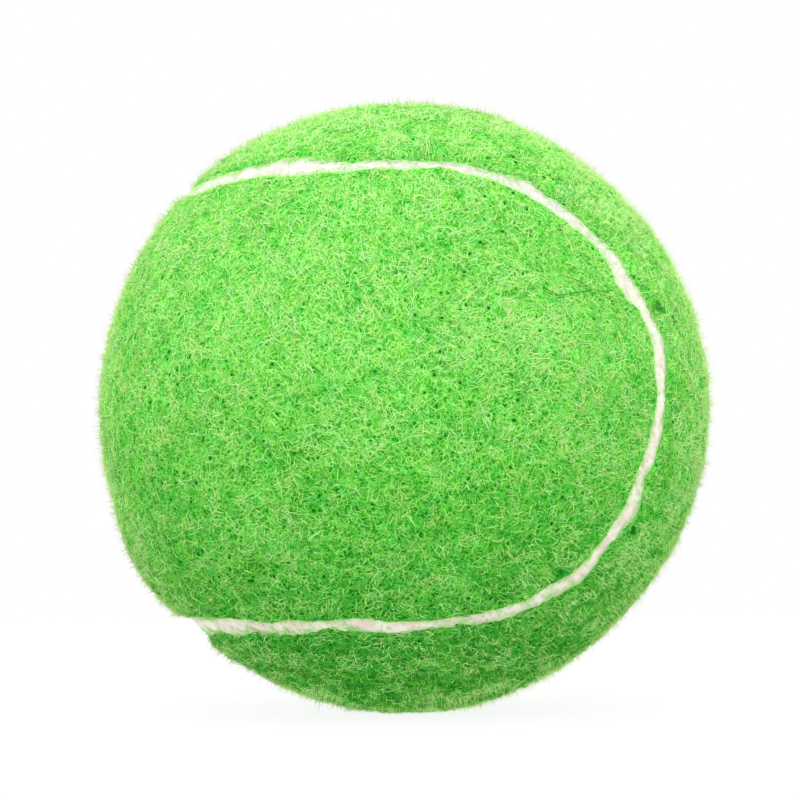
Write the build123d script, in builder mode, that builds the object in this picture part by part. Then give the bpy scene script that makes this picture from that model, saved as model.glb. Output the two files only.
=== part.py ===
from build123d import *
import os
from math import sqrt

# Tennis ball: a pressurised rubber core in two half shells, wrapped in two felt blanks with a rubber seam between.
# Origin at the ball's centre, +Z up, millimetres. The seam is four half circles, each 45 degrees from the pole of one
# lobe: the left blank's lobes lie at +Y and -Y with its waist at -X, and the right blank is the same blank turned half
# a turn, with its lobes at +Z and -Z and its waist at +X. Where the half circles meet, all of them cross the YZ plane,
# so one cross-section in that plane gives the whole cover.

os.makedirs("parts", exist_ok=True)

# Driving dimensions
ball_diameter = 67.0  # over the felt
felt_thickness = 3.2  # from the blank's glued back to its napped face
panel_cement_thickness = 0.2  # coat of rubber cement on the back of each blank
core_wall = 3.4  # rubber half shell
core_joint_thickness = 0.3  # cement between the rims of the half shells
seam_gap = 1.4  # between the cut edges of the two blanks
seam_recess = 0.8  # depth of the seam below the felt's face
edge_roll = 1.8  # radius to which the felt's cut edges roll down

# Radii of the layers, from the outside in
felt_radius = ball_diameter / 2
seam_radius = felt_radius - seam_recess
felt_back_radius = felt_radius - felt_thickness
core_radius = felt_back_radius - panel_cement_thickness
core_inner_radius = core_radius - core_wall

# A square this wide covers the ball's whole section from its corner on
section_reach = 2 * felt_radius
# Where a blank's two cut edges would meet if they ran on to the middle of the ball
edge_apex = seam_gap / sqrt(2)
# Half a turn about this line carries one blank into the other's place
swap_axis = Axis((0, 0, 0), (0, 1, 1))


def blank_section(inner_radius, outer_radius, roll):
    """Cross-section of a blank in the YZ plane: a ring's quarter about +Y, less half the seam gap at each end."""
    with BuildSketch(Plane.YZ) as section:
        Circle(outer_radius)
        Circle(inner_radius, mode=Mode.SUBTRACT)
        with Locations((edge_apex + section_reach / sqrt(2), 0)):
            Rectangle(section_reach, section_reach, rotation=45, mode=Mode.INTERSECT)
        if roll > 0:
            fillet(section.vertices().sort_by_distance((0, 0, 0))[-2:], radius=roll)
    return section


def half_above(section):
    """The half of a blank's cross-section that lies above the XY plane."""
    with BuildSketch(Plane.YZ) as upper:
        add(section.sketch_local)
        Rectangle(section_reach, section_reach, align=Align.MIN, mode=Mode.INTERSECT)
    return upper


felt_section = blank_section(felt_back_radius, felt_radius, edge_roll)
felt_half_section = half_above(felt_section)
cement_section = blank_section(core_radius, felt_back_radius, 0)
cement_half_section = half_above(cement_section)

# Seam: the groove between the two blanks, filled from the core up to the seam's own level
with BuildSketch(Plane.YZ) as seam_section:
    Circle(seam_radius)
    Circle(core_radius, mode=Mode.SUBTRACT)
    Rectangle(section_reach, section_reach, align=Align.MIN, mode=Mode.INTERSECT)
    for blank in (felt_section, cement_section):
        add(blank.sketch_local, mode=Mode.SUBTRACT)
        add(blank.sketch_local, rotation=90, mode=Mode.SUBTRACT)

# Core: two moulded half shells, butted rim to rim with cement between
with BuildPart() as core_upper_half:
    with BuildSketch(Plane.XZ) as core_section:
        Circle(core_radius)
        Circle(core_inner_radius, mode=Mode.SUBTRACT)
        with Locations((0, core_joint_thickness / 2)):
            Rectangle(section_reach, section_reach, align=Align.MIN, mode=Mode.INTERSECT)
    revolve(axis=Axis.Z)
core_upper_half.part.label = "core_upper_half"
export_step(core_upper_half.part, "parts/core_upper_half.step")

with BuildPart() as core_lower_half:
    add(core_upper_half.part)
    mirror(about=Plane.XY, mode=Mode.REPLACE)
core_lower_half.part.label = "core_lower_half"
export_step(core_lower_half.part, "parts/core_lower_half.step")

with BuildPart() as core_joint_cement:
    with BuildSketch(Plane.XZ) as joint_section:
        Circle(core_radius)
        Circle(core_inner_radius, mode=Mode.SUBTRACT)
        Rectangle(section_reach, core_joint_thickness, align=(Align.MIN, Align.CENTER), mode=Mode.INTERSECT)
    revolve(axis=Axis.Z)
core_joint_cement.part.label = "core_joint_cement"
export_step(core_joint_cement.part, "parts/core_joint_cement.step")

# Left blank and its cement: the waist turns about Z through -X, and each lobe turns about Y through +X. From here on
# the unions keep their faces as they were turned (clean=False), because merging them leaves an invalid one.
with BuildPart() as left_felt_panel:
    revolve(felt_section.sketch, axis=Axis.Z, revolution_arc=180)
    felt_lobe = revolve(felt_half_section.sketch, axis=Axis.Y, revolution_arc=180, clean=False)
    add(felt_lobe.mirror(Plane.XZ), clean=False)
left_felt_panel.part.label = "left_felt_panel"
export_step(left_felt_panel.part, "parts/left_felt_panel.step")

with BuildPart() as left_panel_cement:
    revolve(cement_section.sketch, axis=Axis.Z, revolution_arc=180)
    cement_lobe = revolve(cement_half_section.sketch, axis=Axis.Y, revolution_arc=180, clean=False)
    add(cement_lobe.mirror(Plane.XZ), clean=False)
left_panel_cement.part.label = "left_panel_cement"
export_step(left_panel_cement.part, "parts/left_panel_cement.step")

# Right blank and its cement: the same pieces, turned into the other half of the cover
with BuildPart() as right_felt_panel:
    add(left_felt_panel.part.rotate(swap_axis, 180), clean=False)
right_felt_panel.part.label = "right_felt_panel"
export_step(right_felt_panel.part, "parts/right_felt_panel.step")

with BuildPart() as right_panel_cement:
    add(left_panel_cement.part.rotate(swap_axis, 180), clean=False)
right_panel_cement.part.label = "right_panel_cement"
export_step(right_panel_cement.part, "parts/right_panel_cement.step")

# Seam: one closed strip, a half turn round each of the four lobes
with BuildPart() as seam:
    side_arc = revolve(seam_section.sketch, axis=Axis.Y, revolution_arc=180)
    add(side_arc.mirror(Plane.XZ), clean=False)
    top_arc = revolve(seam_section.sketch, axis=Axis.Z, revolution_arc=180, clean=False)
    add(top_arc.mirror(Plane.XY), clean=False)
seam.part.label = "seam"
export_step(seam.part, "parts/seam.step")
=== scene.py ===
import math

import bpy
import numpy as np
from mathutils import Matrix, Vector


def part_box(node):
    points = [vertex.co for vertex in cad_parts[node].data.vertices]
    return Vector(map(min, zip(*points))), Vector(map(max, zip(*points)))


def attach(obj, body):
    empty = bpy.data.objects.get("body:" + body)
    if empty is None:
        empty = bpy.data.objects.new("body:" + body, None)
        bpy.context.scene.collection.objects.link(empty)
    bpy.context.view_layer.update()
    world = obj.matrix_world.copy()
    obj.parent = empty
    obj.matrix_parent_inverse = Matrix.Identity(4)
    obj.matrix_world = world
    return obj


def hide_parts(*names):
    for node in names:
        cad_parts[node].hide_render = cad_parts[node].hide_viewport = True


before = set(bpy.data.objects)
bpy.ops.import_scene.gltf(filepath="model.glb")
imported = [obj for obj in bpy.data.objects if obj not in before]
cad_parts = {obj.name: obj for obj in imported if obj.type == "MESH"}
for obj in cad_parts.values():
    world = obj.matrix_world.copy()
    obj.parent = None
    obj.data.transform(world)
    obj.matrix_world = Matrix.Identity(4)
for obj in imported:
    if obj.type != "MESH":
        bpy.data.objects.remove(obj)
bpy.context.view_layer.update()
scene = bpy.context.scene
scene.view_settings.view_transform = "Standard"
mm = 0.001

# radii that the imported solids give
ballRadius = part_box("left_felt_panel")[1].y
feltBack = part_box("left_panel_cement")[1].y
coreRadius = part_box("core_upper_half")[1].z

# the photograph's view: angles in degrees, distance in ball radii, the ball's outline in pixels
viewSet = {
    "azimuth": -7.75, "elevation": -3.36, "roll": -0.47, "away": 7.4,
    "outline": 304.3, "centre": (403.1, 406.8), "frameSide": 800,
}


def viewAxes():
    # the camera's right, up and back directions from its azimuth, elevation and roll
    a, e, r = (math.radians(viewSet[k]) for k in ("azimuth", "elevation", "roll"))
    back = Vector((math.sin(a) * math.cos(e), -math.cos(a) * math.cos(e), math.sin(e)))
    right = Vector((math.cos(a), math.sin(a), 0))
    up = back.cross(right)
    return math.cos(r) * right + math.sin(r) * up, math.cos(r) * up - math.sin(r) * right, back


seamSet = {
    "depth": 0.8 * mm,  # seam's face below the felt's face
    "crown": 0.12 * mm,  # how far the seam's middle stands proud of its sides
    "edgeRoll": 1.8 * mm,  # radius to which the felt's cut edges roll down
    # ripples of the two cut edges: size in mm, height in mm and seed
    "leftRipple": [(1.6, 0.18, 40), (0.7, 0.09, 50)],
    "rightRipple": [(1.6, 0.20, 41), (0.55, 0.20, 51)],
    # place along the seam (0 to 4, one for each half circle), shift and width in mm, share of the depth
    "run": [
        (0.01, -0.12, 1.18, 0.8), (0.04, 0.1, 1.68, 0.9), (0.08, 0.34, 1.8, 0.9), (0.14, -0.13, 2.9, 0.9),
        (0.17, 0.33, 2.4, 0.9), (0.22, 0.38, 2.2, 1.0), (0.26, 0.28, 1.9, 1.0), (0.29, -0.13, 2.7, 1.0),
        (0.33, 0.7, 3.26, 0.75), (0.36, 0.13, 3.26, 0.75), (0.38, -0.57, 2.11, 0.75),
        (0.43, -1.08, 2.9, 0.75), (0.47, -0.63, 2.64, 0.75), (0.51, -0.47, 1.94, 0.75),
        (0.56, 0.01, 2.46, 0.75), (0.62, 0.96, 1.94, 0.45), (0.67, -0.12, 2.82, 0.45),
        (0.7, 0.45, 1.58, 0.45), (0.74, 0.33, 1.67, 0.45), (0.79, -0.49, 2.11, 0.45),
        (0.83, 0.02, 2.2, 0.45), (0.87, 0.01, 1.6, 0.45), (0.92, 0.33, 1.8, 0.45), (0.97, 0.59, 1.2, 0.45),
        (1.0, 0.2, 1.1, 0.45), (1.04, -0.23, 1.7, 0.45), (1.1, 0.02, 2.0, 0.45), (1.15, 0.3, 1.2, 0.45),
        (1.2, -0.35, 2.4, 0.45), (1.24, -0.49, 1.7, 0.45), (1.28, -0.13, 2.1, 0.45),
        (1.34, -0.54, 2.8, 0.45), (1.38, -0.58, 2.3, 0.8), (1.48, -0.94, 3.5, 0.6), (2.0, 0.2, 2.0, 1.0),
        (2.4, -0.3, 2.2, 1.0), (2.8, 0.3, 1.8, 1.0), (3.2, -0.2, 2.1, 0.8), (3.42, 0.1, 2.0, 0.3),
        (3.56, 0.45, 2.1, 0.3), (3.64, 0.42, 2.7, 0.4), (3.68, -0.03, 2.4, 0.5), (3.72, -0.16, 2.8, 0.5),
        (3.76, -0.53, 2.5, 0.5), (3.79, -0.42, 3.4, 0.5), (3.82, -0.1, 3.3, 0.6), (3.85, -0.15, 2.2, 0.7),
        (3.88, 0.14, 1.68, 0.8), (3.92, -0.23, 1.43, 0.8), (3.96, 0.08, 1.68, 0.8),
    ],
}

feltSet = {
    "swell": [(22, 0.10, 7), (7, 0.08, 8), (2.2, 0.06, 9)],  # soft lumps: size in mm, height in mm and seed
    # bulges and flats on the outline: clock angle from the right in degrees, height in mm, reach in degrees
    "bulges": [(5, 0.25, 14), (50, -0.27, 16), (95, -0.5, 14), (122, 0.2, 8), (135, 0.3, 12), (165, -0.4, 14),
               (212, 1.0, 11), (236, -0.3, 9), (275, 0.4, 14), (310, -0.25, 14)],
    "napDepth": 0.15 * mm,  # the matted face below the standing nap
    "patches": [(1.5, 1.0, 36)],  # where the nap is thinner or denser: size in mm, height and seed
}

pitSet = {
    "spacing": 2.0 * mm,  # lattice that the needle pits are drawn from
    "cells": 16,  # cells after which the lattice repeats
    "seed": 3,
    "reach": 1.00 * mm,  # how far from the face a drawn spot may lie and still count
    "radius": 0.125 * mm,
    "vary": [(0.8, 0.8, 5)],  # change of radius from pit to pit: size in mm, share and seed
    # dark blotches in the nap, drawn as wide pits: place in mm and radius in mm
    "blotches": [((23.9, -21.6, 9.1), 0.65), ((25.9, -19.8, 8.0), 0.50), ((20.8, -22.1, -14.1), 0.50)],
    "blotchReach": 3,  # radii of a blotch within which it may take the place of a pit
}


def valueNoise(points, size, seed):
    # random heights on a cubic lattice of the given size, blended by a smooth step; -1 to 1
    cells = 32
    table = np.random.default_rng(seed).uniform(-1, 1, (cells, cells, cells))
    place = points / size
    cell = np.floor(place).astype(int)
    part = place - cell
    part = part * part * (3 - 2 * part)
    total = np.zeros(points.shape[:-1])
    for corner in np.ndindex(2, 2, 2):
        share = np.prod(np.where(corner, part, 1 - part), axis=-1)
        i, j, k = np.moveaxis((cell + corner) % cells, -1, 0)
        total += share * table[i, j, k]
    return total


def layeredNoise(points, layers):
    # sum of noises, each with its own size in mm, height and seed
    return sum(high * valueNoise(points, size * mm, seed) for size, high, seed in layers)


def unit(v):
    # each vector divided by its own length
    return v / np.linalg.norm(v, axis=-1, keepdims=True)


def napPatch(d):
    # how dense the nap is, from -1 to 1, in soft patches
    return layeredNoise(d * ballRadius, feltSet["patches"])


def pitSpots(points):
    # nearest needle pit: one random spot in each cell of a cubic lattice, moved to the felt's face; one that
    # lay too far off counts as a metre further. Gives the gap in radii, the spot and its radius
    spacing, cells = pitSet["spacing"], pitSet["cells"]
    table = np.random.default_rng(pitSet["seed"]).uniform(0, 1, (cells, cells, cells, 3))
    at = points * ballRadius
    cell = np.floor(at / spacing).astype(int)
    best = np.full(points.shape[:-1], np.inf)
    spot = np.zeros_like(points)
    for corner in np.ndindex(3, 3, 3):
        near = cell + np.array(corner) - 1
        i, j, k = np.moveaxis(near % cells, -1, 0)
        place = (near + table[i, j, k]) * spacing
        away = np.linalg.norm(place, axis=-1)
        place = place * (ballRadius / away)[..., None]
        gap = np.linalg.norm(at - place, axis=-1)
        gap = gap + np.where(np.abs(away - ballRadius) < pitSet["reach"], 0, 1)
        closer = gap < best
        best = np.where(closer, gap, best)
        spot = np.where(closer[..., None], place, spot)
    size = pitSet["radius"] * (1 + layeredNoise(spot, pitSet["vary"]))
    best = best / size
    for place, radius in pitSet["blotches"]:
        place = unit(np.array(place)) * ballRadius
        gap = np.linalg.norm(at - place, axis=-1) / (radius * mm)
        closer = gap < np.minimum(best, pitSet["blotchReach"])
        best, size = np.where(closer, gap, best), np.where(closer, radius * mm, size)
        spot = np.where(closer[..., None], place, spot)
    return best, spot, size


def arcTurn(t):
    # which of the seam's half circles, and the cosine and sine of the turn along it
    turn = math.pi * (t - np.floor(t) - 0.5)
    return np.floor(t).astype(int) % 4, np.cos(turn), np.sin(turn)


def seamPoint(t):
    # four half circles, each 45 degrees from a pole: -Y and +Y where x is above 0, -Z and +Z below
    arc, c, s = arcTurn(t)
    one = np.ones_like(c)
    arcs = np.array([(c, -one, -s), (-c, s, -one), (c, one, s), (-c, -s, one)])
    return np.moveaxis(np.take_along_axis(arcs, arc[None, None], 0)[0], 0, -1) / math.sqrt(2)


def seamPlace(d):
    # arc length from the seam's middle, positive in the left panel, and the place along the seam
    x, y, z = np.moveaxis(d, -1, 0)
    fromY = np.arccos(np.clip(np.abs(y), 0, 1))
    fromZ = np.arccos(np.clip(np.abs(z), 0, 1))
    inside = ballRadius * np.where(x > 0, math.pi / 4 - fromY, fromZ - math.pi / 4)
    aboutY, aboutZ = np.arctan2(z, x) / math.pi, np.arctan2(y, -x) / math.pi
    lobes = np.where(y < 0, 0.5 - aboutY, 2.5 + aboutY)
    waist = np.where(z < 0, 1.5 + aboutZ, 3.5 - aboutZ)
    return inside, np.where(x > 0, lobes, waist) % 4


def seamShape(t):
    # the two felt edges' distances from the seam's nominal middle, with a fine ripple, the middle between
    # them, and the share of the full depth
    place, shift, width, share = np.array(seamSet["run"]).T
    shift, half, share = (np.interp(t, place, v, period=4) for v in (shift * mm, width * mm / 2, share))
    at = seamPoint(t) * ballRadius
    leftRipple, rightRipple = (mm * layeredNoise(at, seamSet[side]) for side in ("leftRipple", "rightRipple"))
    return half + shift + leftRipple, half - shift + rightRipple, shift, share


def seamSides(t):
    # the seam's middle, the way along it from two points close by, and the way across into the left panel
    step, probe = 0.002, 0.02
    middle = seamPoint(t)
    ahead = unit(seamPoint(t + step) - seamPoint(t - step))
    side = unit(np.cross(middle, ahead))
    return middle, ahead, side * np.sign(seamPlace(unit(middle + probe * side))[0])[:, None]


# how far in from a felt edge its rolled face has come up to the seam's full depth
edgeRoll = seamSet["edgeRoll"]
edgeInset = edgeRoll - math.sqrt(edgeRoll ** 2 - (edgeRoll - seamSet["depth"]) ** 2)


def inFromEdge(d, left):
    # distance inside a panel's own cut edge, along the ball, and the share of the seam's depth there
    inside, t = seamPlace(d)
    leftEdge, rightEdge, _, share = seamShape(t)
    return np.where(left, inside - leftEdge, -inside - rightEdge) + edgeInset * share, share


def feltFace(d, inset, share):
    # radius of the felt's face: the ball, swollen by soft lumps and rolled down at the edge
    roll = edgeRoll * share
    swell = mm * layeredNoise(d * ballRadius, feltSet["swell"])
    right, up, _ = viewAxes()
    for angle, high, reach in feltSet["bulges"]:
        middle = np.array(math.cos(math.radians(angle)) * right + math.sin(math.radians(angle)) * up)
        away = np.degrees(np.arccos(np.clip(d @ middle, -1, 1)))
        swell = swell + high * mm * np.exp(-((away / reach) ** 2))
    short = roll - np.clip(inset, 0, roll)
    drop = roll - np.sqrt(roll * roll - short * short)
    return ballRadius - feltSet["napDepth"] + swell * np.clip(inset / roll, 0, 1) - drop


def addMesh(name, verts, tris, uv=None):
    # one mesh object from whole arrays; uv is given for each corner
    mesh = bpy.data.meshes.new(name)
    mesh.vertices.add(len(verts))
    mesh.vertices.foreach_set("co", verts.astype(np.float32).ravel())
    mesh.loops.add(tris.size)
    mesh.loops.foreach_set("vertex_index", tris.astype(np.int32).ravel())
    mesh.polygons.add(len(tris))
    mesh.polygons.foreach_set("loop_start", np.arange(0, tris.size, 3, dtype=np.int32))
    mesh.update(calc_edges=True)
    mesh.shade_smooth()
    if uv is not None:
        mesh.uv_layers.new(name="OFBake").data.foreach_set("uv", uv.astype(np.float32).ravel())
    piece = bpy.data.objects.new(name, mesh)
    scene.collection.objects.link(piece)
    print(name, len(tris), "triangles")
    return piece


def readVectors(things, field):
    # a mesh's points or faces, with one vector for each, as a whole array
    values = np.zeros(len(things) * 3, np.float32)
    things.foreach_get(field, values)
    return values.reshape(-1, 3)


def storeValues(mesh, name, kind, domain, values):
    # a number or a vector that the mesh keeps for each of its points or faces
    field = "vector" if kind == "FLOAT_VECTOR" else "value"
    mesh.attributes.new(name, kind, domain).data.foreach_set(field, values.astype(np.float32).ravel())


def gridMesh(name, points):
    # closed along the first axis: two triangles to a cell, points in one place merged, flat triangles dropped
    across, along = points.shape[0], points.shape[1]
    i, j = np.meshgrid(np.arange(across), np.arange(along - 1), indexing="ij")
    corner = [(i, j), (i + 1, j), (i + 1, j + 1), (i, j + 1)]
    index = np.stack([(a % across) * along + b for a, b in corner], -1).reshape(-1, 4)
    place = [np.stack([a / across, b / (along - 1)], -1) for a, b in corner]
    place = np.stack(place, -2).reshape(-1, 4, 2)
    tris = np.concatenate([index[:, (0, 1, 2)], index[:, (0, 2, 3)]])
    uv = np.concatenate([place[:, (0, 1, 2)], place[:, (0, 2, 3)]])
    flat = points.reshape(-1, 3)
    sameWithin = 1e-7
    rounded = np.round(flat / sameWithin).astype(np.int64)
    _, first, merged = np.unique(rounded, axis=0, return_index=True, return_inverse=True)
    tris = merged.reshape(-1)[tris]
    keep = (tris[:, 0] != tris[:, 1]) & (tris[:, 1] != tris[:, 2]) & (tris[:, 2] != tris[:, 0])
    return addMesh(name, flat[first], tris[keep], uv[keep])


# a panel's grid: ribs round the seam, and the points of each rib on the face, rolled edge, cut wall and back
skinSet = {"around": 960, "faceRows": 58, "rollRows": 10, "wallRows": 2, "backRows": 5}


def ribDirections(t, gone, left):
    # from each seam point a rib runs 45 degrees inwards, to the lobe's pole or to the waist's middle line
    arc, c, s = arcTurn(t)
    lobe = arc % 2 == 0
    high, low = np.cos(math.pi / 4 - gone), np.sin(math.pi / 4 - gone)
    sign = np.where(arc < 2, -1.0, 1.0)
    lobePoint = np.stack([low * c, sign * high, sign * low * s], -1)
    waistPoint = np.stack([-high * c, -sign * high * s, sign * low], -1)
    d = np.where(lobe[..., None], lobePoint, waistPoint)
    return d if left else d[..., (0, 2, 1)] * (-1, 1, 1)


def feltSkin(name, left):
    # a panel's closed shell: place along the seam by a rib that runs out over the back and in over the face
    t = np.arange(skinSet["around"]) * 4 / skinSet["around"]
    # the edge's own place on each rib, found from the seam's run
    edgeDir = ribDirections(t, np.zeros_like(t), left)
    inset, share = inFromEdge(edgeDir, left)
    short = -inset / ballRadius
    top = math.pi / 4
    rolled = share * edgeRoll / ballRadius
    rollRows = 1 - np.cos(np.linspace(0, math.pi / 2, skinSet["rollRows"]))
    faceRows = np.linspace(0, 1, skinSet["faceRows"])[1:]
    face = np.concatenate([
        short[:, None] + rolled[:, None] * rollRows,
        (short + rolled)[:, None] + (top - short - rolled)[:, None] * faceRows,
    ], 1)
    back = short[:, None] + (top - short)[:, None] * np.linspace(1, 0, skinSet["backRows"])
    wall = np.repeat(short[:, None], skinSet["wallRows"], 1)
    gone = np.concatenate([back, wall, face], 1)
    d = ribDirections(np.repeat(t[:, None], gone.shape[1], 1), gone, left)
    inset = np.concatenate([back * 0, wall * 0, (face - short[:, None]) * ballRadius], 1)
    radius = feltFace(d, inset, share[:, None])
    nBack, nWall = back.shape[1], wall.shape[1]
    radius[:, :nBack] = feltBack
    climb = np.linspace(0, 1, nWall + 2)[1:-1]
    edge = radius[:, nBack + nWall][:, None]
    radius[:, nBack:nBack + nWall] = feltBack + (edge - feltBack) * climb
    points = d * radius[..., None]
    skin = gridMesh(name, points if left else points[::-1])
    # every corner point knows the nap's density there, and every face its nearest pit
    mesh = skin.data
    dense = 0.5 + 0.5 * napPatch(unit(readVectors(mesh.vertices, "co")))
    storeValues(mesh, "napPatch", "FLOAT", "POINT", dense)
    _, spot, size = pitSpots(unit(readVectors(mesh.polygons, "center")))
    storeValues(mesh, "pitSpot", "FLOAT_VECTOR", "FACE", spot)
    storeValues(mesh, "pitSize", "FLOAT", "FACE", size)
    return skin


beadSet = {
    "around": 1600,
    "crownRows": 15,
    "lap": 0.05 * mm,  # how far the crown reaches past each felt edge
    "lumps": [(1.3, 0.07, 61), (0.45, 0.035, 62)],  # size in mm, height in mm and seed
}


def seamBead(name):
    # a low crowned strip carried round the seam: flat foot on the core, sides at the felt edges, lumpy crown
    t = np.arange(beadSet["around"]) * 4 / beadSet["around"]
    middle, _, side = seamSides(t)
    leftEdge, rightEdge, _, share = seamShape(t)
    tuck = edgeInset * share
    crownRows = np.linspace(-1, 1, beadSet["crownRows"])
    half = (leftEdge + rightEdge)[:, None] / 2 + beadSet["lap"]
    mid = (leftEdge - rightEdge)[:, None] / 2
    over = mid + half * crownRows
    at = middle[:, None] * ballRadius + side[:, None] * over[..., None]
    crown = seamSet["crown"] * (1 - crownRows ** 2) + mm * layeredNoise(at, beadSet["lumps"])
    level = ballRadius - feltSet["napDepth"] - seamSet["depth"] * share[:, None] + crown
    foot = np.stack([over[:, -1] - tuck, over[:, 0] + tuck], 1)
    # the last column is the first again, which closes the section
    offset = np.concatenate([over, foot, over[:, :1]], 1)
    radius = np.concatenate([level, np.full((len(t), 2), coreRadius), level[:, :1]], 1)
    d = unit(middle[:, None] + side[:, None] * np.tan(offset / ballRadius)[..., None])
    return gridMesh(name, d * radius[..., None])


# what all fibres share: sizes in mm, angles in radians
fibreSet = {
    "flow": (9, 21),  # patches in which fibres head alike: size and seed
    "headingSpread": 1.1,  # spread about that heading
    "sink": 0.06,  # depth of a fibre's ends in the felt's face
    "overSeam": 0.05,  # height at which a fibre hangs over the seam's face
    "archPower": 0.6,  # below 1, an arch is flat on top and steep at its ends
    "freePower": 1.4,  # above 1, a free fibre bends up towards its tip
    "freeRise": 1.3,  # height of a free tip, as a multiple of an arch's
    "liftPaintedLight": 0.3,  # painted light: how much paler a fibre is for each mm that it stands higher
    "tip": 0.6,  # thickness at the ends, as a share of that in the middle
    "toneColumns": 64,  # columns of the map, by tone
    "hueBands": 4,  # bands of the map, by tint
    "lean": 0.82,
    "quickShare": 6,
}

# layers of nap from the deepest out: count on each panel, length, thickness and lift in mm, curl and wiggle
# in radians, share that ends free, bareness, tone from 0 to 1, and whether it takes the straw tint
# the deeper layers' darker tones are partly their own and partly painted shade of the nap's depth
naps = {
    "mat": {"count": 15500, "points": 4, "length": 1.2, "spread": 0.35, "thick": 0.095, "lift": 0.10,
            "liftSpread": 0.06, "curl": 1.8, "wiggle": 0.5, "free": 0.1, "gaps": 0.5, "shade": 0.44,
            "shadeSpread": 0.26, "palest": 0.92, "straw": False, "seed": 12},
    "top": {"count": 15500, "points": 4, "length": 1.2, "spread": 0.4, "thick": 0.075, "lift": 0.19,
            "liftSpread": 0.10, "curl": 1.7, "wiggle": 0.5, "free": 0.3, "gaps": 0.7, "shade": 0.63,
            "shadeSpread": 0.24, "palest": 0.92, "straw": False, "seed": 13},
    "wisp": {"count": 15500, "points": 4, "length": 1.4, "spread": 0.4, "thick": 0.060, "lift": 0.27,
             "liftSpread": 0.12, "curl": 1.5, "wiggle": 0.5, "free": 0.4, "gaps": 0.6, "shade": 0.75,
             "shadeSpread": 0.19, "palest": 0.92, "straw": False, "seed": 15},
    # the fuzz's pale straw tone is partly its own and partly painted light of a backlit rim
    "fuzz": {"count": 28000, "points": 3, "length": 0.38, "spread": 0.35, "thick": 0.040, "lift": 0.52,
             "liftSpread": 0.25, "curl": 0.6, "wiggle": 0.0, "free": 1.0, "gaps": 0.3, "shade": 0.92,
             "shadeSpread": 0.04, "palest": 0.95, "straw": True, "seed": 14},
}

# how the layers thin out and change tone over the ball, with painted light at the top and painted shade below
napLook = {
    "drawn": 4,  # fibres drawn for each one wanted
    "hangLeast": -0.1,  # least that a fibre may reach past its panel's edge, in mm
    "pitClear": 1.4,  # radii of a pit that fibres keep clear of
    "pitCrossed": 0.05,  # share of fibres that cross it all the same
    "clumps": [(0.9, 1.0, 33), (0.45, 0.6, 34)],  # size in mm, height and seed
    "bare": (-1.2, 0.6),  # range of heights in the clumps below which no fibre grows
    "patchAll": 0.05,  # how much the patches add to the clumps all over
    "patchBelow": 0.7,  # how much more they add on the ball's underside
    "fineSize": 1.5,  # of the finer of two mottles, in mm
    "fineSeed": 32,
    "coarseSeed": 31,
    "clumpTone": 0.12,
    "patchTone": 0.14,
    "paintedLightTop": 0.16,  # painted light: how much paler the fibres are at the ball's top than at its middle
    "paintedShadeBelow": 1.5,  # painted shade: how much duller they are at its underside, as a multiple of that
    "paintedShadeStrawShare": 0.45,  # share of this painted shade that the straw fuzz takes
    "contrast": 0.80,  # spread of the tones at the ball's middle
    "contrastBelow": 0.66,  # what the underside adds, partly painted shade of its deeper gaps
    "contrastAbove": -0.28,  # what the top adds
    "thick": (0.75, 1.25),  # range of thickness about the layer's own
    "hueSpread": 0.6,
    "huePatches": [(1.1, 0.9, 35)],  # size in mm, height and seed
    "hueLimits": (-0.35, 0.35),  # between olive, plain and teal
}
# what differs between the left and the right panel, whose nap is wispier, with paler fibres over deeper gaps
panelLook = {
    "hang": (0.12, 0.35),  # most that a fibre may reach past its panel's edge, in mm
    "fineTone": (0.11, 0.20),
    "coarseSize": (4.5, 3.0),
    "coarseTone": (0.12, 0.22),
    "contrast": (1.0, 1.3),
}

# fibres rooted along each cut edge, which reach out over the seam by their length; root is the range of their
# start inside the edge, in mm
edgeNaps = {
    "left": {"count": 3500, "length": 0.45, "thick": 0.060, "lift": 0.10, "root": (0.15, 0.40), "shade": 0.68,
             "shadeSpread": 0.18, "hue": 0, "seed": 71, "tuftSeed": 76},
    "right": {"count": 7200, "length": 0.75, "thick": 0.062, "lift": 0.16, "root": (0.0, 0.30), "shade": 0.82,
              "shadeSpread": 0.14, "hue": 1, "seed": 72, "tuftSeed": 77},
}
# tufts in which these fibres are longer: size in mm, strength and range; slant and its change in radians
tuftSet = {"points": 4, "spread": 0.35, "size": 1.6, "strength": 0.8, "range": (0.4, 1.7), "slant": 0.7,
           "slantChange": 0.6}

# two loose fibres that lie on the left panel, places in mm
strayFibres = {
    "paths": [
        [(9.2, -30.5, 10.4), (9.8, -30.4, 10.0), (10.4, -30.4, 9.7), (10.8, -30.3, 9.3), (11.4, -30.2, 9.2),
         (12.1, -29.8, 9.3), (12.8, -29.5, 9.5), (13.5, -29.1, 9.6), (14.6, -28.5, 9.8), (15.2, -28.1, 10.0),
         (15.7, -27.9, 10.0), (16.2, -27.6, 9.9), (16.9, -27.2, 9.9), (17.8, -26.5, 10.2)],
        [(12.1, -29.2, 11.1), (12.9, -28.9, 11.1), (13.6, -28.6, 10.9), (14.1, -28.4, 10.7),
         (14.7, -28.3, 10.4), (15.1, -28.2, 10.1), (15.3, -28.1, 9.8), (15.0, -28.3, 9.7),
         (14.8, -28.3, 9.9)],
    ],
    "thick": (0.11, 0.10), "tone": (0.02, 0.06), "lift": 0.32, "points": 44,
    "easing": 3,  # rounds in which each point moves towards its neighbours
}


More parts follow.
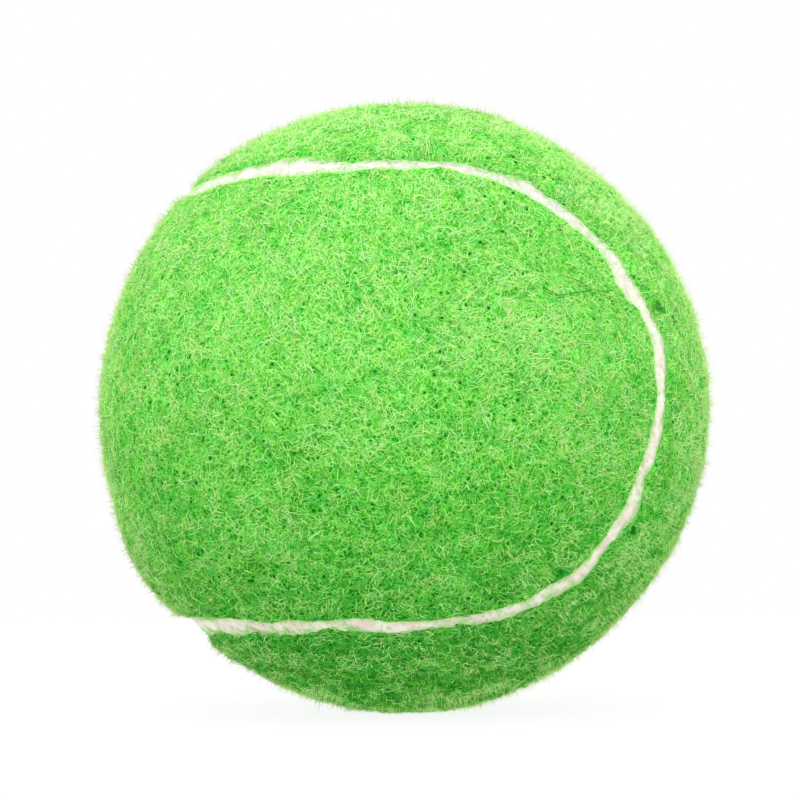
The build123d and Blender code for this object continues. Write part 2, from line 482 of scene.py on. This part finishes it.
def fibrePaths(nap, count):
    # short curves that wander on the ball: each starts its own way, bends evenly with a wiggle, and arches
    rng = np.random.default_rng(nap["seed"])
    d0 = unit(rng.normal(size=(count, 3)))
    aside = np.where(np.abs(d0[:, 2:]) < 0.9, (0.0, 0.0, 1.0), (1.0, 0.0, 0.0))
    e1 = unit(np.cross(aside, d0))
    e2 = np.cross(d0, e1)
    k = np.linspace(0, 1, nap["points"])
    flowSize, flowSeed = fibreSet["flow"]
    flow = math.pi * valueNoise(d0 * ballRadius, flowSize * mm, flowSeed)
    heading = flow + rng.normal(0, fibreSet["headingSpread"], count)
    bend = rng.normal(0, nap["curl"], count)
    wiggle = rng.normal(0, nap["wiggle"], count)
    phase = rng.uniform(0, 2 * math.pi, count)
    wave = wiggle[:, None] * np.sin(2 * math.pi * k + phase[:, None])
    angle = heading[:, None] + bend[:, None] * (k - 0.5) + wave
    length = nap["length"] * mm * np.exp(rng.normal(0, nap["spread"], count))
    step = (length / (nap["points"] - 1))[:, None]
    x, y = np.cumsum(np.cos(angle) * step, 1), np.cumsum(np.sin(angle) * step, 1)
    x, y = x - x.mean(1, keepdims=True), y - y.mean(1, keepdims=True)
    d = unit(d0[:, None] + (x[..., None] * e1[:, None] + y[..., None] * e2[:, None]) / ballRadius)
    peak = np.abs(rng.normal(nap["lift"], nap["liftSpread"], count))[:, None] * mm
    sink = fibreSet["sink"] * mm
    arch = -sink + (peak + sink) * np.sin(math.pi * k) ** fibreSet["archPower"]
    free = -sink + (peak * fibreSet["freeRise"] + sink) * k ** fibreSet["freePower"]
    lift = np.where(rng.random((count, 1)) < nap["free"], free, arch)
    tone = rng.normal(nap["shade"], nap["shadeSpread"], count)
    # painted light: fibres that stand higher are paler
    tone = tone + fibreSet["liftPaintedLight"] * (peak[:, 0] / mm - nap["lift"])
    return d0, d, lift, tone, rng


def fibreMesh(name, paths, up, thick, tone, hue):
    # each path becomes a closed three-sided tube, a low roof over a flat foot, with a tip at both ends; its
    # map lies in the column of its tone and the band of its hue
    count, points = paths.shape[0], paths.shape[1]
    rings = points - 2
    ahead = unit(paths[:, 2:] - paths[:, :-2])
    side = unit(np.cross(ahead, up[:, 1:-1]))
    over = np.cross(side, ahead)
    k = np.linspace(0, 1, points)[1:-1]
    tip = fibreSet["tip"]
    size = (thick[:, None] / 2 * (tip + (1 - tip) * np.sin(math.pi * k)))[..., None, None]
    roof = np.array([(1, -0.25), (0, 0.5), (-1, -0.25)])  # eave, ridge and eave
    across, high = roof.T[..., None]
    ring = paths[:, 1:-1, None] + size * (across * side[:, :, None] + high * over[:, :, None])
    verts = np.concatenate([ring.reshape(count, rings * 3, 3), paths[:, :1], paths[:, -1:]], 1)
    start, end = rings * 3, rings * 3 + 1
    r, c = np.meshgrid(np.arange(rings - 1), np.arange(3), indexing="ij")
    a, b = (r * 3 + c).ravel(), (r * 3 + (c + 1) % 3).ravel()
    wall = np.concatenate([np.stack([a, a + 3, b + 3], 1), np.stack([a, b + 3, b], 1)])
    c = np.arange(3)
    first = np.stack([np.full(3, start), c, (c + 1) % 3], 1)
    last = np.stack([np.full(3, end), (rings - 1) * 3 + (c + 1) % 3, (rings - 1) * 3 + c], 1)
    one = np.concatenate([wall, first, last])
    tris = (one[None] + (np.arange(count) * (end + 1))[:, None, None]).reshape(-1, 3)
    # the map keeps clear of the sides of its column and band
    columns, bands = fibreSet["toneColumns"], fibreSet["hueBands"]
    column = np.floor(np.clip(tone, 0.01, 0.99) * columns)
    aside = np.concatenate([np.tile([-1, 0, 1], rings), [0, 0]])
    along = np.concatenate([np.repeat(k, 3), [0.02, 0.98]])
    u = (column[:, None] + 0.5 + 0.2 * aside) / columns
    v = (hue[:, None] + 0.1 + 0.8 * along) / bands
    uv = np.stack([u, v], -1).reshape(-1, 2)[tris]
    verts = verts.reshape(-1, 3)
    piece = addMesh(name, verts, tris, uv)
    # shading normals lean from the tube's own (0) to the ball's (1), as in a soft mat
    own, lean = readVectors(piece.data.vertices, "normal"), fibreSet["lean"]
    piece.data.normals_split_custom_set_from_vertices(unit(own * (1 - lean) + unit(verts) * lean))
    return piece


def seatFibres(d, left, lift):
    # fibres laid on the felt's face, or on the seam where they hang over it, and their way in from the edge
    inset, share = inFromEdge(d, left)
    base = ballRadius - feltSet["napDepth"] - seamSet["depth"] * share + fibreSet["overSeam"] * mm
    radius = np.maximum(feltFace(d, inset, share), base) + lift
    return d * radius[..., None], inset - edgeInset * share


def grownCount(nap):
    return nap["count"] // 1


def growNap(name, nap):
    # one layer of fibres on each panel; those that would hide a pit or hang far over the seam are left out
    wanted = grownCount(nap)
    d0, d, lift, tone, rng = fibrePaths(nap, wanted * napLook["drawn"])
    inside, t = seamPlace(d0)
    left = inside > seamShape(t)[2]
    paths, inset = seatFibres(d, left[:, None], lift)
    mine = {key: np.where(left, *pair) for key, pair in panelLook.items()}
    hang = rng.uniform(napLook["hangLeast"], mine["hang"]) * mm
    clear = pitSpots(d)[0].min(1) > napLook["pitClear"]
    clear = clear | (rng.random(len(d0)) < napLook["pitCrossed"])
    at = d0 * ballRadius
    below, above = np.clip(-d0[:, 2], 0, 1), np.clip(d0[:, 2], 0, 1)
    clump = layeredNoise(at, napLook["clumps"])
    patch = (napLook["patchAll"] + napLook["patchBelow"] * below) * napPatch(d0)
    bare = nap["gaps"] * rng.uniform(*napLook["bare"], len(d0))
    keep = (inset.min(1) > -hang) & clear & (clump + patch > bare)
    fine = valueNoise(at, napLook["fineSize"] * mm, napLook["fineSeed"])
    coarse = valueNoise(at, mine["coarseSize"][:, None] * mm, napLook["coarseSeed"])
    tone = tone + mine["fineTone"] * fine + mine["coarseTone"] * coarse
    # painted light: paler and more even towards the top; painted shade: duller below, the straw fuzz less so
    paintedShadeBelow = below * (napLook["paintedShadeStrawShare"] if nap["straw"] else 1.0)
    tone = tone + napLook["clumpTone"] * clump + napLook["patchTone"] * patch
    tone = tone + napLook["paintedLightTop"] * (above - napLook["paintedShadeBelow"] * paintedShadeBelow)
    contrast = napLook["contrast"] + napLook["contrastBelow"] * paintedShadeBelow + napLook["contrastAbove"] * above
    tone = nap["shade"] + mine["contrast"] * contrast * (tone - nap["shade"])
    tone = np.minimum(tone, nap["palest"])
    thick = nap["thick"] * mm * rng.uniform(*napLook["thick"], len(d0))
    hue = napLook["hueSpread"] * rng.normal(size=len(d0)) + layeredNoise(at, napLook["huePatches"])
    hue = np.digitize(hue, napLook["hueLimits"])
    hue = np.where(nap["straw"], fibreSet["hueBands"] - 1, hue)
    made = []
    for panel, onIt in (("left", left), ("right", ~left)):
        pick = np.flatnonzero(keep & onIt)[:wanted]
        print(panel, name, len(pick), "fibres of", wanted)
        picked = (values[pick] for values in (paths, d, thick, tone, hue))
        made.append(fibreMesh(f"{panel}_nap_{name}", *picked))
    return made


def growEdge(panel, nap):
    # fibres from inside a cut edge out over the seam: each heads across at its own slant and droops on it
    rng = np.random.default_rng(nap["seed"])
    count = grownCount(nap)
    left = panel == "left"
    t = rng.uniform(0, 4, count)
    middle, ahead, side = seamSides(t)
    edge = seamShape(t)[0 if left else 1]
    k = np.linspace(0, 1, tuftSet["points"])
    tuft = 1 + tuftSet["strength"] * valueNoise(middle * ballRadius, tuftSet["size"] * mm, nap["tuftSeed"])
    tuft = np.clip(tuft, *tuftSet["range"])
    length = nap["length"] * mm * tuft * np.exp(rng.normal(0, tuftSet["spread"], count))
    slant = rng.normal(0, tuftSet["slant"], count)[:, None]
    slant = slant + rng.normal(0, tuftSet["slantChange"], count)[:, None] * k
    step = (length / (tuftSet["points"] - 1))[:, None]
    out = np.cumsum(np.cos(slant) * step, 1) - rng.uniform(*nap["root"], count)[:, None] * mm
    along = np.cumsum(np.sin(slant) * step, 1)
    across = (edge[:, None] - out) * (1 if left else -1)
    away = across[..., None] * side[:, None] + along[..., None] * ahead[:, None]
    d = unit(middle[:, None] + away / ballRadius)
    lift = np.abs(rng.normal(0, nap["lift"], count))[:, None] * mm * k
    paths, _ = seatFibres(d, np.full((count, 1), left), lift)
    tone = rng.normal(nap["shade"], nap["shadeSpread"], count)
    thick, hue = np.full(count, nap["thick"] * mm), np.full(count, nap["hue"])
    return fibreMesh(f"{panel}_nap_edge", paths, d, thick, tone, hue)


def layStrays(name):
    # loose fibres: straight runs between the given places, evened out to equal steps and eased at the corners
    count = strayFibres["points"]
    paths = []
    for path in strayFibres["paths"]:
        path = np.array(path) * mm
        gone = np.concatenate([[0], np.cumsum(np.linalg.norm(np.diff(path, axis=0), axis=1))])
        place = np.linspace(0, gone[-1], count)
        path = np.stack([np.interp(place, gone, path[:, n]) for n in range(3)], 1)
        for _ in range(strayFibres["easing"]):
            path[1:-1] = (path[:-2] + 2 * path[1:-1] + path[2:]) / 4
        paths.append(path)
    d = unit(np.array(paths))
    lift = np.full(d.shape[:2], strayFibres["lift"] * mm)
    lift[:, (0, -1)] = 0
    paths, _ = seatFibres(d, np.full((len(d), 1), True), lift)
    thick, tone = np.array(strayFibres["thick"]) * mm, np.array(strayFibres["tone"])
    return fibreMesh(name, paths, d, thick, tone, np.ones(len(d)))


def newMaterial(name):
    # a new material with its node tree and its shader
    material = bpy.data.materials.new(name)
    material.use_nodes = True
    tree = material.node_tree
    return material, tree, tree.nodes["Principled BSDF"]


def feed(tree, value, socket):
    # a socket takes what another one gives, or a plain number or colour
    if isinstance(value, bpy.types.NodeSocket):
        tree.links.new(value, socket)
    else:
        socket.default_value = (*value, 1) if isinstance(value, tuple) else value


def setSockets(node, **values):
    # plain numbers and colours on a node's own sockets, whose names have _ for a space here
    for name, value in values.items():
        node.inputs[name.replace("_", " ")].default_value = value


def mathNode(tree, kind, *values):
    # one sum, with each side a socket or a plain number
    node = tree.nodes.new("ShaderNodeMath")
    node.operation = kind
    for n, value in enumerate(values):
        feed(tree, value, node.inputs[n])
    return node.outputs[0]


def mixColour(tree, share, first, second, blend="MIX"):
    # blends two colours by a share, each a socket or a plain value; 6, 7 and 2 are the node's colour sockets
    node = tree.nodes.new("ShaderNodeMix")
    node.data_type, node.blend_type = "RGBA", blend
    for n, value in ((0, share), (6, first), (7, second)):
        feed(tree, value, node.inputs[n])
    return node.outputs[2]


def tintColour(tree, first, second):
    # product of two colours
    return mixColour(tree, 1.0, first, second, "MULTIPLY")


def rampColour(tree, value, stops, between="LINEAR"):
    # a colour for each value from 0 to 1: the stops' colours at their places, a blend or steps between them
    node = tree.nodes.new("ShaderNodeValToRGB")
    node.color_ramp.interpolation = between
    for n, (place, colour) in enumerate(stops):
        stop = node.color_ramp.elements[n] if n < 2 else node.color_ramp.elements.new(place)
        stop.position = place
        stop.color = (*colour, 1)
    tree.links.new(value, node.inputs["Fac"])
    return node.outputs["Color"]


def ownPlace(tree):
    # the place in the piece's own frame
    return tree.nodes.new("ShaderNodeTexCoord").outputs["Object"]


def axes(tree, vector):
    # a vector's own X, Y and Z
    split = tree.nodes.new("ShaderNodeSeparateXYZ")
    tree.links.new(vector, split.inputs["Vector"])
    return split.outputs


def noise(tree, scale, detail=3.0, rough=0.6):
    # noise in the piece's own frame; scale is in repeats to a metre
    node = tree.nodes.new("ShaderNodeTexNoise")
    setSockets(node, Scale=scale, Detail=detail, Roughness=rough)
    tree.links.new(ownPlace(tree), node.inputs["Vector"])
    return node.outputs["Fac"]


def mapPlace(tree):
    # the place on the piece's own map, along its first and its second axis
    uv = tree.nodes.new("ShaderNodeUVMap")
    uv.uv_map = "OFBake"
    place = axes(tree, uv.outputs["UV"])
    return place["X"], place["Y"]


def stored(tree, name, output):
    # what the mesh keeps under a name for each of its points or faces
    node = tree.nodes.new("ShaderNodeAttribute")
    node.attribute_name = name
    return node.outputs[output]


def upward(tree, stops):
    # a colour by height: 0 at the ball's underside, 1 at its top
    height = mathNode(tree, "DIVIDE", axes(tree, ownPlace(tree))["Z"], 2 * ballRadius)
    return rampColour(tree, mathNode(tree, "ADD", height, 0.5), stops)


def peak(tree, away, width):
    # 1 where away is nothing, falling evenly to 0 at the width
    fall = mathNode(tree, "DIVIDE", away, width)
    return mathNode(tree, "MAXIMUM", mathNode(tree, "SUBTRACT", 1.0, fall), 0.0)


def addBump(tree, shader, height, distance):
    # shading bent by half of what the height, times the distance, would give
    bump = tree.nodes.new("ShaderNodeBump")
    setSockets(bump, Strength=0.5, Distance=distance)
    tree.links.new(height, bump.inputs["Height"])
    tree.links.new(bump.outputs["Normal"], shader.inputs["Normal"])


fibreLook = {
    "tones": [(0.0, (0.012, 0.240, 0.008)), (0.15, (0.050, 0.470, 0.020)), (0.35, (0.146, 0.730, 0.058)),
              (0.55, (0.266, 0.890, 0.112)), (0.72, (0.390, 0.970, 0.200)), (0.92, (0.535, 0.980, 0.325)),
              (1.0, (0.860, 0.970, 0.720))],
    # tints of the four bands, from the map's foot: olive, plain, teal and straw, partly painted rim light
    "hues": [(0.0, (1.13, 0.985, 0.90)), (0.25, (1.0, 1.0, 1.0)), (0.5, (0.88, 1.01, 1.02)),
             (0.75, (1.09, 1.01, 0.89))],
    "rough": 0.8,
    "shine": 0.0,
    "sheen": 0.40,
    "sheenRough": 0.3,
    "sheenTint": (1.0, 1.0, 0.45),
}


def fibreMaterial():
    # dyed fibres: each one's own tone is its column of the map, tinted by the band it lies in
    material, tree, shader = newMaterial("dyed_fibre")
    column, band = mapPlace(tree)
    tone = rampColour(tree, column, fibreLook["tones"])
    hue = rampColour(tree, band, fibreLook["hues"], "CONSTANT")
    tree.links.new(tintColour(tree, tone, hue), shader.inputs["Base Color"])
    setSockets(shader, Roughness=fibreLook["rough"], Specular_IOR_Level=fibreLook["shine"],
               Sheen_Weight=fibreLook["sheen"], Sheen_Roughness=fibreLook["sheenRough"],
               Sheen_Tint=(*fibreLook["sheenTint"], 1))
    return material


skinLook = {
    # the felt's deep green, partly its own and partly painted shade of the gaps deep in the nap
    "deep": [(0.35, (0.014, 0.320, 0.005)), (0.65, (0.060, 0.500, 0.024))],
    "deepScale": 450,
    # painted shadow beside each curly line, also the colour of the dimples' painted shade
    "outline": (0.012, 0.290, 0.004),
    "shadowLineShare": 0.5,
    "shadowLineWidth": 2,  # as a multiple of its line's
    # lines to a metre, width in units of the noise, colour; from the deepest to the topmost
    "threads": [(800, 0.050, (0.110, 0.640, 0.052)), (900, 0.050, (0.155, 0.740, 0.074)),
                (1000, 0.050, (0.210, 0.820, 0.098)), (1150, 0.050, (0.290, 0.900, 0.136)),
                (1300, 0.050, (0.390, 0.960, 0.190)), (1450, 0.045, (0.500, 0.980, 0.270))],
    "threadCurl": 0.6,
    "threadSink": 0.8,  # height left to a line under each line that is laid over it
    "clouds": [(180, "cloud"), (600, "cloud"), (750, "hues")],  # to a metre, and the tints that they take
    "cloud": [(0.36, (0.70, 0.86, 0.78)), (0.50, (0.92, 0.96, 0.92)), (0.64, (1.0, 1.0, 1.0))],
    "hues": [(0.36, (1.10, 0.99, 0.86)), (0.50, (1.0, 1.0, 1.0)), (0.64, (0.86, 1.02, 1.00))],
    # painted shade, darkest at the ball's underside up to its top: for the gaps between the lines, then for
    # all
    "gapPaintedShade": [(0.10, (0.20, 0.45, 0.35)), (0.30, (0.45, 0.68, 0.60)), (0.56, (1.0, 1.0, 1.0))],
    "paintedShade": [(0.10, (0.34, 0.64, 0.42)), (0.30, (0.58, 0.88, 0.60)), (0.56, (1.0, 1.0, 1.0))],
    # from the thinnest patches of the nap to the densest
    "patch": [(0.22, (0.74, 0.87, 0.86)), (0.50, (0.97, 0.99, 0.98)), (0.70, (1.0, 1.0, 1.0))],
    # painted shade of the needle pits and of the shallow dimples round them, which the mesh doesn't dent
    "pit": (0.004, 0.125, 0.012),
    "pitReach": 1.4,  # radii at which a pit's colour ends
    "pitSteep": 2.5,  # how fast it grows to its full colour from there
    "pitFull": 0.45 * mm,  # wider pits are fainter
    "dimpleReach": 2.6,  # radii
    "dimpleShadeShare": 0.35,
    "bump": 0.1 * mm,
    "rough": 0.9,
    "shine": 0.0,
}


def threads(tree, scale, seed):
    # curly lines where a noise crosses its middle value; distance from the nearest line
    wave = noise(tree, scale, 1.5, 0.5)
    wave.node.noise_dimensions = "4D"
    setSockets(wave.node, W=seed, Distortion=skinLook["threadCurl"])
    return mathNode(tree, "ABSOLUTE", mathNode(tree, "SUBTRACT", wave, 0.5))


def layThreads(tree, colour, outline):
    # each line with its painted shadow, a dark outline, over all before it; the colour, and the height of the
    # topmost line
    height = 0.0
    for n, (scale, width, tint) in enumerate(skinLook["threads"]):
        away = threads(tree, scale, n + 1.0)
        line = peak(tree, away, width)
        # the painted shadow, a wider band round the line
        edge = peak(tree, away, skinLook["shadowLineWidth"] * width)
        edge = mathNode(tree, "MULTIPLY", edge, skinLook["shadowLineShare"])
        colour = mixColour(tree, line, mixColour(tree, edge, colour, outline), tint)
        under = mathNode(tree, "MULTIPLY", height, skinLook["threadSink"])
        height = mathNode(tree, "MAXIMUM", under, line)
    return colour, height


def paintPitShade(tree, colour):
    # painted shade of needle pits in the middle of shallow dimples, by the distance from the nearest pit in
    # its own radii
    gap = tree.nodes.new("ShaderNodeVectorMath")
    gap.operation = "DISTANCE"
    tree.links.new(stored(tree, "pitSpot", "Vector"), gap.inputs[0])
    tree.links.new(ownPlace(tree), gap.inputs[1])
    size = stored(tree, "pitSize", "Fac")
    near = mathNode(tree, "DIVIDE", gap.outputs["Value"], size)
    dimple = peak(tree, near, skinLook["dimpleReach"])
    dimple = mathNode(tree, "MULTIPLY", dimple, skinLook["dimpleShadeShare"])
    colour = mixColour(tree, dimple, colour, skinLook["outline"])
    full = mathNode(tree, "MINIMUM", mathNode(tree, "DIVIDE", skinLook["pitFull"], size), 1.0)
    hole = peak(tree, near, skinLook["pitReach"])
    hole = mathNode(tree, "MINIMUM", mathNode(tree, "MULTIPLY", hole, skinLook["pitSteep"]), 1.0)
    return mixColour(tree, mathNode(tree, "MULTIPLY", hole, full), colour, skinLook["pit"])


def skinMaterial():
    # felt under the fibres: curly lines laid over one another, deep to light, soft clouds, patches and pits,
    # with painted shade
    material, tree, shader = newMaterial("matted_felt")
    deep = noise(tree, skinLook["deepScale"])
    # painted shade: the gaps and the lines' shadows darker towards the ball's underside
    gapPaintedShade = upward(tree, skinLook["gapPaintedShade"])
    colour = tintColour(tree, rampColour(tree, deep, skinLook["deep"]), gapPaintedShade)
    colour, height = layThreads(tree, colour, tintColour(tree, skinLook["outline"], gapPaintedShade))
    for scale, stops in skinLook["clouds"]:
        colour = tintColour(tree, colour, rampColour(tree, noise(tree, scale, 2.0, 0.5), skinLook[stops]))
    # painted shade: all of the felt darker towards the ball's underside
    colour = tintColour(tree, colour, upward(tree, skinLook["paintedShade"]))
    patch = rampColour(tree, stored(tree, "napPatch", "Fac"), skinLook["patch"])
    colour = paintPitShade(tree, tintColour(tree, colour, patch))
    tree.links.new(colour, shader.inputs["Base Color"])
    addBump(tree, shader, height, skinLook["bump"])
    setSockets(shader, Roughness=skinLook["rough"], Specular_IOR_Level=skinLook["shine"])
    return material


seamLook = {
    "tones": [(0.36, (0.78, 0.68, 0.59)), (0.50, (0.84, 0.79, 0.67)), (0.62, (0.90, 0.89, 0.74))],
    "toneScale": 650,
    "fleck": (0.60, 0.42, 0.42),
    "fleckScale": 1500,
    "fleckShare": [(0.60, (0, 0, 0)), (0.72, (0.7, 0.7, 0.7))],  # by the noise's height
    "rim": (0.88, 0.87, 0.48),
    "rimWidth": 0.16,  # on the map
    "rimShare": 0.7,
    # painted shade, darker towards the top where the lamp falls most: from the ball's underside to its top
    "paintedShade": [(0.30, (1.0, 1.0, 1.0)), (0.55, (0.93, 0.98, 0.95)), (0.80, (0.77, 0.84, 0.86))],
    "grainScale": 2600,
    "bump": 0.06 * mm,
    "rough": 0.7,
}


def seamMaterial():
    # pale rubber with pink flecks, cream where it meets the felt; the map's second axis runs across it
    material, tree, shader = newMaterial("seam_rubber")
    tone = rampColour(tree, noise(tree, seamLook["toneScale"]), seamLook["tones"])
    fleck = rampColour(tree, noise(tree, seamLook["fleckScale"], 2.0, 0.5), seamLook["fleckShare"])
    colour = mixColour(tree, fleck, tone, seamLook["fleck"])
    _, across = mapPlace(tree)
    # past the crown the map goes on over two rows of the foot and back to the start
    crownHalf = (beadSet["crownRows"] - 1) / (beadSet["crownRows"] + 2) / 2
    side = mathNode(tree, "ABSOLUTE", mathNode(tree, "SUBTRACT", across, crownHalf))
    rim = peak(tree, mathNode(tree, "SUBTRACT", crownHalf, side), seamLook["rimWidth"])
    rim = mathNode(tree, "MULTIPLY", mathNode(tree, "MINIMUM", rim, 1.0), seamLook["rimShare"])
    colour = mixColour(tree, rim, colour, seamLook["rim"])
    # painted shade, darker towards the top
    colour = tintColour(tree, colour, upward(tree, seamLook["paintedShade"]))
    tree.links.new(colour, shader.inputs["Base Color"])
    addBump(tree, shader, noise(tree, seamLook["grainScale"]), seamLook["bump"])
    setSockets(shader, Roughness=seamLook["rough"])
    return material


# inner pieces by their finish
rubbers = {
    "core_rubber": {
        "nodes": ("core_upper_half", "core_lower_half"),
        "tones": [(0.35, (0.020, 0.020, 0.022)), (0.7, (0.045, 0.044, 0.046))],
        "toneScale": 250, "grainScale": 1000, "bump": 0.1 * mm, "rough": 0.7,
    },
    "rubber_cement": {
        "nodes": ("core_joint_cement", "left_panel_cement", "right_panel_cement"),
        "tones": [(0.3, (0.42, 0.30, 0.13)), (0.7, (0.60, 0.47, 0.26))],
        "toneScale": 300, "grainScale": 1200, "bump": 0.05 * mm, "rough": 0.5,
    },
}


def rubberMaterial(name, rubber):
    # moulded or dried rubber: soft colour change, and a fine uneven skin
    material, tree, shader = newMaterial(name)
    tone = rampColour(tree, noise(tree, rubber["toneScale"]), rubber["tones"])
    tree.links.new(tone, shader.inputs["Base Color"])
    addBump(tree, shader, noise(tree, rubber["grainScale"]), rubber["bump"])
    setSockets(shader, Roughness=rubber["rough"])
    return material


fibreFinish, skinFinish, seamFinish = fibreMaterial(), skinMaterial(), seamMaterial()

for finishName, rubber in rubbers.items():
    finish = rubberMaterial(finishName, rubber)
    for node in rubber["nodes"]:
        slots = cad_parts[node].data.materials
        slots.clear()
        slots.append(finish)
print("inner pieces dressed")


def dress(piece, finish):
    # a new piece's finish, the body that it rides on and its slot
    piece.data.materials.append(finish)
    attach(piece, "root")


for panel, left in (("left", True), ("right", False)):
    skin = feltSkin(f"{panel}_felt", left)
    dress(skin, skinFinish)
    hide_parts(f"{panel}_felt_panel")

bead = seamBead("seam_bead")
dress(bead, seamFinish)
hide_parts("seam")

napPieces = {"left": [], "right": []}


def addNap(panel, piece):
    # a piece of nap, dressed and kept with its panel
    dress(piece, fibreFinish)
    napPieces[panel].append(piece)


for napName, nap in naps.items():
    for panel, piece in zip(napPieces, growNap(napName, nap)):
        addNap(panel, piece)
for panel, nap in edgeNaps.items():
    addNap(panel, growEdge(panel, nap))
addNap("left", layStrays("left_stray_fibres"))
print("felt and seam done")

# lengths in metres; the world's light goes from front to back over a range of the direction's y
stageSet = {
    "floorSize": 0.6,
    "floorGap": 0.1 * mm,
    "floorShown": 0.9,  # how much of the floor's plain white shows
    "worldRange": (-0.5, 0.2),
    "worldFront": 0.36,
    "worldBack": 1.3,
    "worldSides": 0.65,
    "key": 0.90,
    "keyHeight": 42,  # degrees
    "keySize": 1.2,
    "keyAway": 1.4,
    "keySide": -0.1,
}


def shownRay(tree):
    # 1 for camera, glossy and transmission rays, which show the background
    path = tree.nodes.new("ShaderNodeLightPath")
    first = mathNode(tree, "MAXIMUM", path.outputs["Is Camera Ray"], path.outputs["Is Glossy Ray"])
    return mathNode(tree, "MAXIMUM", first, path.outputs["Is Transmission Ray"])


def mixShaders(tree, share, first, second, output):
    # what comes out is the first shader, and the second by its share
    mix = tree.nodes.new("ShaderNodeMixShader")
    for n, socket in enumerate((share, first, second)):
        tree.links.new(socket, mix.inputs[n])
    tree.links.new(mix.outputs["Shader"], tree.nodes[output].inputs["Surface"])


def makeFloor():
    # one plane that the ball stands on; rays that show the background see it mostly as plain white, and all
    # others find a soft even fill
    half = stageSet["floorSize"] / 2
    z = -ballRadius - stageSet["floorGap"]
    verts = np.array([(-half, -half, z), (half, -half, z), (half, half, z), (-half, half, z)])
    floor = addMesh("floor", verts, np.array([(0, 1, 2), (0, 2, 3)]))
    material, tree, shader = newMaterial("floor_white")
    setSockets(shader, Base_Color=(1, 1, 1, 1), Roughness=0.9)
    glow = tree.nodes.new("ShaderNodeEmission")
    setSockets(glow, Strength=1.0)
    lit = mathNode(tree, "MULTIPLY", shownRay(tree), 1 - stageSet["floorShown"])
    white = mathNode(tree, "SUBTRACT", 1.0, lit)
    mixShaders(tree, white, shader.outputs["BSDF"], glow.outputs["Emission"], "Material Output")
    floor.data.materials.append(material)


def makeWorld():
    # soft light from all round, more of it from the backdrop behind and from both sides, the latter by the
    # square of x; rays that show the background find it white
    world = bpy.data.worlds.new("studio")
    scene.world = world
    world.use_nodes = True
    tree = world.node_tree
    light = tree.nodes["Background"]
    setSockets(light, Color=(1, 1, 1, 1))
    way = axes(tree, tree.nodes.new("ShaderNodeTexCoord").outputs["Generated"])
    rise = tree.nodes.new("ShaderNodeMapRange")
    rise.interpolation_type = "SMOOTHSTEP"
    start, end = stageSet["worldRange"]
    setSockets(rise, From_Min=start, From_Max=end)
    setSockets(rise, To_Min=stageSet["worldFront"], To_Max=stageSet["worldBack"])
    tree.links.new(way["Y"], rise.inputs["Value"])
    sides = mathNode(tree, "MULTIPLY", mathNode(tree, "MULTIPLY", way["X"], way["X"]), stageSet["worldSides"])
    tree.links.new(mathNode(tree, "ADD", rise.outputs["Result"], sides), light.inputs["Strength"])
    shown = tree.nodes.new("ShaderNodeBackground")
    setSockets(shown, Color=(1, 1, 1, 1), Strength=1.0)
    mixShaders(tree, shownRay(tree), light.outputs["Background"], shown.outputs["Background"], "World Output")


def makeKey():
    # one wide lamp above and in front, turned to the ball, where its irradiance is stageSet's key times pi
    data = bpy.data.lights.new("key", "AREA")
    data.shape = "SQUARE"
    data.size = stageSet["keySize"]
    away = stageSet["keyAway"]
    data.energy = stageSet["key"] * math.pi * math.pi * away * away
    lamp = bpy.data.objects.new("key", data)
    scene.collection.objects.link(lamp)
    high = math.radians(stageSet["keyHeight"])
    place = Vector((stageSet["keySide"], -away * math.cos(high), away * math.sin(high)))
    turn = (-place).to_track_quat("-Z", "Y").to_matrix().to_4x4()
    lamp.matrix_world = Matrix.Translation(place) @ turn


def makeCamera():
    # the camera stands at the photograph's angle, and its lens gives the ball the photographed outline
    right, up, back = viewAxes()
    frameSide = viewSet["frameSide"]
    focal = viewSet["outline"] / math.tan(math.asin(1 / viewSet["away"]))
    data = bpy.data.cameras.new("camera")
    data.sensor_width = 36
    data.lens = focal / frameSide * data.sensor_width
    data.shift_x = (frameSide / 2 - viewSet["centre"][0]) / frameSide
    data.shift_y = (viewSet["centre"][1] - frameSide / 2) / frameSide
    data.clip_start = 0.01
    camera = bpy.data.objects.new("camera", data)
    scene.collection.objects.link(camera)
    turn = Matrix((right, up, back)).transposed().to_4x4()
    camera.matrix_world = Matrix.Translation(back * viewSet["away"] * ballRadius) @ turn
    scene.camera = camera


makeFloor()
makeWorld()
makeKey()
makeCamera()
print("stage and camera done")
